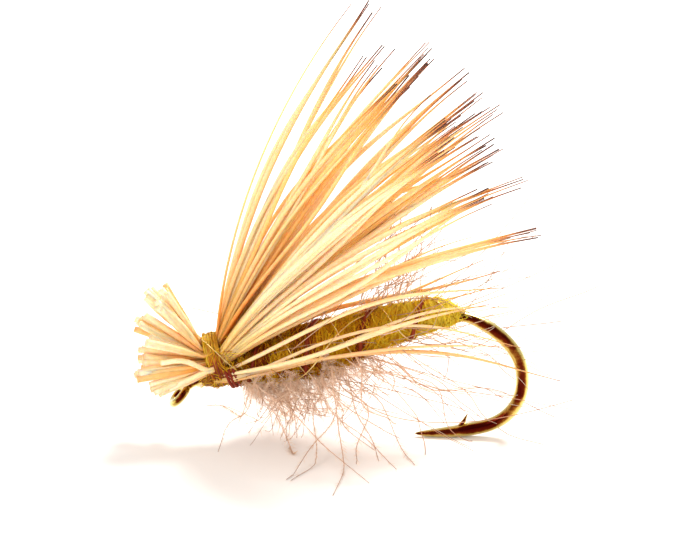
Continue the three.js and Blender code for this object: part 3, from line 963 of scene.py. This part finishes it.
# Each group: barbs, span along the body, (angle, spread), (shortest, longest), sweep, bow and
# (barbules a barb, their length, how far out along the barb they grow).
BARB_GROUPS = (
    (104, (0.03, 0.40), (BELOW, 0.72), (0.8, 2.5), 0.25, 0.75, (44, 0.60, 1.0)),
    (26, (0.30, 0.64), (BELOW, 0.70), (1.0, 2.8), 0.45, 0.75, (34, 0.50, 1.0)),
    (13, (0.04, 0.58), (BELOW + 0.80, 0.28), (4.2, 6.0), 0.10, 0.5, (130, 0.55, 1.0)),
    (12, (0.04, 0.58), (BELOW - 0.80, 0.28), (4.2, 6.0), 0.10, 0.5, (130, 0.55, 1.0)),
    (26, (0.40, 0.83), (BELOW, 0.80), (4.0, 8.0), 0.95, 0.8, (16, 0.24, 0.7)),
    (24, (0.55, 0.80), (ABOVE + 0.25, 0.22), (3.0, 5.6), 0.70, 0.3, (40, 0.36, 1.0)),
    (24, (0.09, 0.75), (FAR, 0.35), (0.9, 2.2), 0.35, 0.5, (50, 0.45, 1.0)),
    (10, (0.36, 0.46), (-FAR - 0.3, 0.3), (0.4, 0.9), 0.35, 0.5, (44, 0.34, 1.0)),
)
BARB_SHAFT = [
    (0.0, (0.93, 0.72, 0.58)),
    (0.45, (0.80, 0.52, 0.37)),
    (0.8, (0.50, 0.25, 0.15)),
    (1.0, (0.32, 0.15, 0.09)),
]
DOWN = [(0.0, (0.95, 0.72, 0.54)), (1.0, (0.98, 0.83, 0.69))]


def build_hackle():
    dice = np.random.default_rng(31)
    groups = [barb_group(dice, *row[:-1]) for row in BARB_GROUPS]
    barbs = strands("hackle_barbs", [(paths, radii, 4, tone) for paths, radii, tone in groups])
    dress(barbs, feather_material("barb_shaft", BARB_SHAFT))
    clothed = [barbules(group[0], *row[-1], dice) for group, row in zip(groups, BARB_GROUPS)]
    down = strands("hackle_down", clothed)
    dress(down, feather_material("down", DOWN))


def barb_group(dice, count, span, facing, lengths, sweep, bow):
    """Soft barbs leaving the body, swept back and bowed."""
    share = span[0] + dice.beta(1.0, 1.25, count) * (span[1] - span[0])
    angle = facing[0] + dice.normal(0, facing[1], count)
    roots, out = round_body(BODY_START + BODY_LENGTH * share, angle, np.zeros(count))
    length = dice.uniform(*lengths, count)
    t = shares(20)[None, :, None]
    back = [dice.normal(sweep, 0.3, count), dice.normal(0, 0.22, count), dice.normal(0, 0.15, count)]
    bend = dice.normal(0, bow, (count, 3)) * np.array([1.0, 0.7, 0.5])
    wave = dice.normal(0, 0.03, (count, 3))
    heading = unit(out + np.stack(back, axis=-1))
    paths = roots[:, None] + length[:, None, None] * (
        heading[:, None] * t
        + bend[:, None] * t * (t - 0.45) * 0.8
        + wave[:, None] * np.sin(3.3 * pi * t)
    )
    thickness = (0.009 + 0.0024 * length)[:, None]
    return settle_on_ground(paths), thickness * (1 - 0.4 * t[..., 0]), dice.random(count)


def settle_on_ground(paths):
    """Lifts what would sink below the ground and lets it slide outwards instead."""
    lowest, slide = 0.03, 0.9
    sunk = np.clip(lowest - height_above_ground(paths), 0, None)
    paths = paths.copy()
    paths[..., 2] += sunk / cos(PITCH)
    paths[..., 1] += slide * sunk * np.sign(paths[..., 1] + 1e-6)
    return paths


def barbules(barb_paths, each, size, reach, dice):
    """Fine wavy threads off both sides of every barb, shorter towards its tip."""
    count, steps, _ = barb_paths.shape
    share = dice.beta(1.0, 1.2, (count, each)) * reach
    index = share * (steps - 1)
    low = np.clip(index.astype(int), 0, steps - 2)
    part = (index - low)[..., None]
    rows = np.arange(count)[:, None]
    start = barb_paths[rows, low] * (1 - part) + barb_paths[rows, low + 1] * part
    along = unit(barb_paths[rows, low + 1] - barb_paths[rows, low])
    plane = dice.normal(0, 1, (count, 1, 3)) + 0.5 * dice.normal(0, 1, (count, each, 3))
    sideways = unit(np.cross(along, plane)) * dice.choice([-1.0, 1.0], (count, each, 1))
    length = (size * (1 - 0.7 * share / reach) * dice.uniform(0.5, 1.4, (count, each)))[..., None]
    heading = unit(1.1 * along + sideways)
    wave = dice.normal(0, 0.16, (count, each, 3))
    t = shares(5)
    points = [start + length * (heading * s + wave * sin(3.0 * s) * s) for s in t]
    paths = settle_on_ground(np.stack(points, axis=2).reshape(count * each, len(t), 3))
    radii = np.broadcast_to((0.0050 * (1 - t) + 0.0034)[None], (count * each, len(t)))
    return paths, radii, 3, dice.random(count * each)


# ---- Hair ----


def smooth_course(points, steps):
    """A Catmull-Rom line through points, evenly stepped in its parameter."""
    p = np.array(points, float)
    p = np.concatenate([[2 * p[0] - p[1]], p, [2 * p[-1] - p[-2]]])
    spans = len(p) - 3
    t = np.linspace(0, spans, steps)
    i = np.minimum(t.astype(int), spans - 1)
    u = (t - i)[:, None]
    a, b, c, d = p[i], p[i + 1], p[i + 2], p[i + 3]
    curve = 2 * b + (c - a) * u + (2 * a - 5 * b + 4 * c - d) * u**2
    return 0.5 * (curve + (3 * b - a - 3 * c + d) * u**3)


def course_of(node, steps):
    return smooth_course(centre_line(node), steps)


def course_between(first, second, share, steps):
    """A course part of the way from one CAD strand to another."""
    start, end = course_of(first, steps), course_of(second, steps)
    return start + share * (end - start)


def headings(course):
    """Every step of a course: its slope above the shank and its angle sideways, in degrees."""
    step = np.diff(course, axis=0)
    slope = np.degrees(np.arctan2(step[:, 2], step[:, 0]))
    sideways = np.degrees(np.arctan2(step[:, 1], np.hypot(step[:, 0], step[:, 2])))
    return slope, sideways, np.linalg.norm(step, axis=1).sum()


def hair_lines(roots, slope, sideways, length, dice, sway=1.3, flare=0.0):
    """Hair lines walked from their roots by slopes and sideways angles (count, steps - 1).

    Each hair sways a little. Flare steepens the first stretch, where the pinched bundle opens out.
    """
    count, steps = slope.shape
    t = ((np.arange(steps) + 0.5) / steps)[None]
    rock = dice.normal(0, sway, (count, 1)) * np.sin(2 * pi * (t * 0.8 + dice.random((count, 1))))
    drift = dice.normal(0, sway, (count, 1)) * np.sin(2 * pi * (t * 0.7 + dice.random((count, 1))))
    rise = np.radians(slope + rock + flare * np.exp(-t / 0.12))
    fan = np.radians(sideways + drift)
    heading = np.stack([np.cos(rise) * np.cos(fan), np.sin(fan), np.sin(rise) * np.cos(fan)], axis=-1)
    walked = np.cumsum(heading * (length / steps)[:, None, None], axis=1)
    return np.concatenate([roots[:, None, :], roots[:, None, :] + walked], axis=1)


def gather(paths, group, strength):
    """Draws the outer stretch of hairs of one group together, as damp or waxed hair clings."""
    t = shares(paths.shape[1])[None, :, None]
    pull = strength * smoothstep(t, 0.35, 0.95)
    gathered = paths.copy()
    for index in np.unique(group):
        members = group == index
        middle = paths[members].mean(axis=0, keepdims=True)
        gathered[members] += pull * (middle - paths[members])
    return gathered


def lead_in(paths, start_x):
    """Adds the stretch of each hair that runs through the collar, squeezed towards its middle."""
    roots = paths[:, 0]
    front = roots.copy()
    front[:, 0] = start_x
    front[:, 1] *= 0.9
    front[:, 2] = PINCH_HEIGHT + 0.9 * (front[:, 2] - PINCH_HEIGHT)
    middle = (front + roots) / 2
    return np.concatenate([front[:, None], middle[:, None], paths], axis=1)


def hair_radius(steps, belly, tip, dice, count):
    """Radii along each hair: pinched at the collar, full in the belly, fine at the tip."""
    pinched = 0.055
    t = shares(steps)[None]
    swell = pinched + (belly - pinched) * smoothstep(t, 0.03, 0.18)
    taper = 1 - (1 - tip / belly) * smoothstep(t, 0.55, 1.0) ** 1.3
    size = dice.uniform(0.8, 1.1, (count, 1)) + 0.3 * (dice.random((count, 1)) < 0.15)
    return swell * taper * size


def wing_layer(layer, each, dice):
    """Hairs that follow the CAD's locks of one layer, each turned and shifted a little from its lock."""
    steps, clinging = 28, 4
    # The flare lifts a hair bodily, so its slope is eased to keep it in the lock's place.
    flare = {"upper": 2.0, "middle": 9.0, "lower": 14.0}[layer]
    settle = 0.16 * flare
    courses = [course_of(node, steps) for node in nodes_named(f"wing_{layer}_lock")]
    part = (np.arange(steps - 1) + 0.5) / (steps - 1)
    roots, slopes, sideways, group = [], [], [], []
    for course in courses:
        slope, fan, _ = headings(course)
        swing = dice.normal(0, 1.6)
        for _ in range(each):
            dy, dz = dice.normal(0, 0.10, 2)
            turn = swing - settle + 15 * dz + dice.normal(0, 2.4)
            roots.append([COLLAR_END, 0.95 * course[0, 1] + dy, course[0, 2] + dz])
            slopes.append(slope + turn + dice.normal(0, 3.0) * part)
            sideways.append(fan + 22 * dy + dice.normal(0, 2.2))
            group.append(len(roots) // clinging)
    count = len(roots)
    roots = np.array(roots)
    full_length = np.mean([headings(course)[2] for course in courses])
    length = full_length * (1.09 - dice.gamma(1.5, 0.065, count))
    paths = hair_lines(roots, np.array(slopes), np.array(sideways), length, dice, 2.2, flare)
    paths = gather(paths, np.array(group), 0.74)
    paths = lead_in(paths, COLLAR_START + 0.05)
    belly = 0.100 if layer == "upper" else 0.112
    radii = hair_radius(paths.shape[1], belly, 0.026, dice, count)
    # The outer hairs of the bundle are tinted cream as painted light and those inside it golden as
    # painted shade; the rest of the tone differs at random.
    outside = smoothstep(np.abs(roots[:, 1]), 0.1, 0.5)
    tone = np.clip(dice.normal(0.35, 0.30, count) + 0.40 * outside, 0, 1)
    return paths, radii, 7, tone


def build_wing():
    look = hair_material("wing_hair", PALE_WING, GOLDEN_WING)
    # Each layer: hairs a lock, seed, body and a slope for its stretch at the collar. The slope only marks
    # a layer that is baked in place without a body; its value is not read.
    for layer, each, seed, body, slope in (
        ("upper", 5, 41, "wing_upper", 50),
        ("middle", 7, 42, "wing_middle", 35),
        ("lower", 4, 43, "dressed_hook", None),
    ):
        dice = np.random.default_rng(seed)
        groups = [wing_layer(layer, each, dice)]
        stands_for = nodes_named(f"wing_{layer}")
        if layer == "upper":
            groups.append(stray_hair(dice))
            stands_for.append("wing_stray_hair")
        piece = strands(f"wing_{layer}_hair", groups)
        dress(piece, look, stands_for, None if slope else body)
        if slope:
            bend_at_collar(piece)


def bend_at_collar(piece):
    """Bakes a layer's placement into its mesh."""
    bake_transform(piece)


def stray_hair(dice):
    """The single hair that stands apart from the wing."""
    course = course_of("wing_stray_hair", 30)
    slope, fan, length = headings(course)
    root = course[:1] * np.array([0, 1, 1]) + np.array([[COLLAR_END, 0, 0]])
    paths = hair_lines(root, slope[None], fan[None], np.array([length]), dice)
    paths = lead_in(paths, COLLAR_START + 0.05)
    t = shares(paths.shape[1])[None]
    return paths, 0.062 * (1 - 0.75 * t**1.5) + 0.003, 7, np.array([0.25])


def build_side_hair():
    """Low hairs between and just below the CAD's side hairs, and up towards the wing's lowest locks."""
    dice = np.random.default_rng(51)
    steps = 38
    lowest = nodes_named("wing_lower_lock")
    courses = []
    for side, lock in (("near", lowest[0]), ("far", lowest[-1])):
        upper, lower = f"side_hair_{side}_upper", f"side_hair_{side}_lower"
        courses += [course_between(upper, lower, share, steps) for share in (0.0, 0.35, 0.7, 1.0, 1.4)]
        courses.append(course_between(upper, lock, 0.3, steps))
    count = len(courses)
    turned_up = dice.normal(0, 1.8, count)
    turned_out = dice.normal(0, 1.0, count)
    slopes, fans, length = (np.array(part) for part in zip(*map(headings, courses)))
    slopes += turned_up[:, None]
    fans += turned_out[:, None]
    length *= dice.uniform(0.86, 1.04, count)
    roots = np.array([course[0] for course in courses]) + dice.normal(0, 0.03, (count, 3))
    paths = lead_in(hair_lines(roots, slopes, fans, length, dice, sway=5.0), COLLAR_START + 0.05)
    radii = hair_radius(paths.shape[1], 0.088, 0.018, dice, count)
    piece = strands("side_hair", [(paths, radii, 8, dice.uniform(0.3, 1.0, count))])
    look = hair_material("side_hair", PALE_SIDE, GOLDEN_SIDE)
    dress(piece, look, nodes_named("side_hair"))


def build_butts():
    """Clipped ends that follow the CAD's butt locks, several to each."""
    dice = np.random.default_rng(61)
    each, steps = 7, 10
    roots, slopes, sideways, lengths = [], [], [], []
    for node in nodes_named("butt_lock"):
        slope, fan, length = headings(course_of(node, steps))
        root = centre_line(node)[0]
        # The steep upper locks are trimmed a little longer than the rest.
        trim = 1.05 - 0.13 * smoothstep(np.abs(slope).mean(), 125, 155)
        for _ in range(each):
            lean = dice.normal(0, 7.0)
            bowed = lean * (np.arange(steps - 1) / (steps - 2) - 0.5)
            roots.append(root + dice.normal(0, 0.10, 3) * np.array([0.3, 1.0, 0.9]))
            slopes.append(slope + dice.normal(0, 2.6) + bowed)
            sideways.append(fan + dice.normal(0, 3.6))
            lengths.append(length * (trim + dice.normal(0, 0.035)))
    roots = np.array(roots)
    count = len(roots)
    paths = hair_lines(roots, np.array(slopes), np.array(sideways), np.array(lengths), dice)
    paths = np.concatenate([roots_behind(paths), paths], axis=1)
    t = shares(paths.shape[1])[None]
    size = dice.uniform(0.85, 1.15, (count, 1))
    radii = (0.065 + 0.07 * smoothstep(t, 0.1, 0.55)) * size
    # The outer butts are tinted cream as painted light and those inside the bundle golden as painted
    # shade; the rest of the tone differs at random.
    outside = smoothstep(np.abs(roots[:, 1]), 0.15, 0.5)
    tone = np.clip(dice.normal(0.38, 0.3, count) + 0.4 * outside, 0, 1)
    butts = strands("clipped_butts", [(paths, radii, 9, tone), bent_butts()])
    look = hair_material("butt_hair", PALE_BUTT, GOLDEN_BUTT, 0.00008)
    dress(butts, look, nodes_named("butt_lock"))


def roots_behind(paths):
    """A first point for each butt, hidden inside the collar."""
    back = paths[:, 0].copy()
    back[:, 0] = COLLAR_END - 0.25
    return back[:, None]


def bent_butts():
    """Two butts kinked round the near side of the collar, one rising and one straight ahead."""
    foot = np.array([COLLAR_START, -COLLAR_HALF_WIDTH - 0.16, COLLAR_HEIGHT - 0.1])
    inside = foot + np.array([0.35, 0.25, 0.0])
    courses = []
    # Slope and length of each butt before its kink, then after it.
    for first, first_reach, second, second_reach in ((142, 1.15, 170, 1.0), (190, 1.1, 192, 0.8)):
        elbow = foot + first_reach * slope_heading(first)
        courses.append([inside, foot, elbow, elbow + second_reach * slope_heading(second)])
    paths = np.stack([smooth_course(course, 14) for course in courses])
    return paths, np.full((2, 14), 0.12), 9, np.array([1.0, 0.95])


def slope_heading(slope):
    """A direction in the hook's plane, its slope in degrees above the shank's line to the bend."""
    angle = radians(slope)
    return np.array([cos(angle), 0.0, sin(angle)])


def build_strays():
    """Fine fibres of the down that stand far out from the fly, scattered over the body."""
    dice = np.random.default_rng(71)
    count, steps = 52, 34
    x = BODY_START + BODY_LENGTH * dice.uniform(0.15, 0.85, count)
    angle = dice.uniform(0, 2 * pi, count)
    roots, out = round_body(x, angle, np.zeros(count))
    slope = np.radians(dice.uniform(-46, 34, count))
    turn = np.radians(dice.normal(0, 24, count))
    backward = np.where(dice.random(count) < 0.88, 1.0, -0.7)
    heading = np.stack(
        [backward * np.cos(slope) * np.cos(turn), np.sin(turn), np.sin(slope)], axis=-1
    )
    bow = dice.normal(0, 0.25, (count, 3))
    length = dice.uniform(0.35, 0.9, count) * BODY_LENGTH
    t = shares(steps)[None, :, None]
    paths = roots[:, None] + length[:, None, None] * (
        heading[:, None] * t + 0.06 * out[:, None] * np.sin(pi * t) + bow[:, None] * t * (t - 0.6)
    )
    wave = dice.normal(0, 0.05, (count, 3))[:, None]
    paths = settle_on_ground(paths + wave * np.sin(5 * pi * t) * t)
    radii = (0.021 * (1 - 0.35 * t[..., 0])) * np.ones((count, 1))
    strays = strands("stray_fibres", [(paths, radii, 4, dice.random(count))])
    brown = [(0.0, (0.62, 0.38, 0.24)), (1.0, (0.38, 0.29, 0.22))]
    dress(strays, feather_material("stray_fibre", brown))


# ---- Stage ----


def build_floor():
    half_size = 3.0
    mesh = bpy.data.meshes.new("floor")
    corners = [(x * half_size, y * half_size, 0) for x, y in ((-1, -1), (1, -1), (1, 1), (-1, 1))]
    mesh.from_pydata(corners, [], [(0, 1, 2, 3)])
    n = Nodes("white_card")
    n.set(Base_Color=(0.94, 0.90, 0.87, 1.0), Roughness=0.9, Specular_IOR_Level=0.1)
    mesh.materials.append(n.material)
    floor = in_scene("floor", mesh)
    # Just below the ground that the fly stands on, so that the two never share a plane.
    floor.location.z = -0.02 * MM


def aim_at(thing, place, target):
    """Puts a light or a camera in its place and turns it to its target."""
    thing.location = place
    thing.rotation_euler = (Vector(target) - Vector(place)).to_track_quat("-Z", "Y").to_euler()


def area_light(name, place, target, size, watts, colour):
    data = bpy.data.lights.new(name, "AREA")
    data.shape = "DISK"
    data.size = size
    data.energy = watts
    data.color = colour
    aim_at(in_scene(name, data), place, target)


def build_lights():
    world = bpy.data.worlds.new("studio")
    bpy.context.scene.world = world
    world.use_nodes = True
    background = world.node_tree.nodes["Background"]
    background.inputs["Color"].default_value = (1.0, 0.995, 0.985, 1.0)
    background.inputs["Strength"].default_value = 0.82
    area_light("key", (0.10, 0.14, 0.26), (0, 0, 0.006), 0.12, 1.35, (1.0, 0.99, 0.97))
    area_light("fill", (-0.16, -0.20, 0.16), (0, 0, 0.008), 0.16, 0.35, (1.0, 0.98, 0.95))


def build_camera():
    """Looks across the fly and a little down on it, framed by the CAD's own box."""
    low, high = cad_box
    elevation, distance = radians(20), 0.26
    frame_width = 1.606 * (high.x - low.x)
    aim_shift, aim_share = 0.04 * MM, 0.391
    target = Vector(((low.x + high.x) / 2 + aim_shift, 0, aim_share * high.z))
    data = bpy.data.cameras.new("camera")
    data.lens = data.sensor_width * distance / frame_width
    data.clip_start = 0.01
    camera = in_scene("camera", data)
    aim_at(camera, target + Vector((0, -cos(elevation), sin(elevation))) * distance, target)
    bpy.context.scene.camera = camera


build_hook()
build_body()
build_collar()
build_whip()
build_rib()
build_quill()
build_hackle()
build_wing()
build_side_hair()
build_butts()
build_strays()
build_floor()
build_lights()
build_camera()
bpy.context.scene.view_settings.view_transform = "Standard"
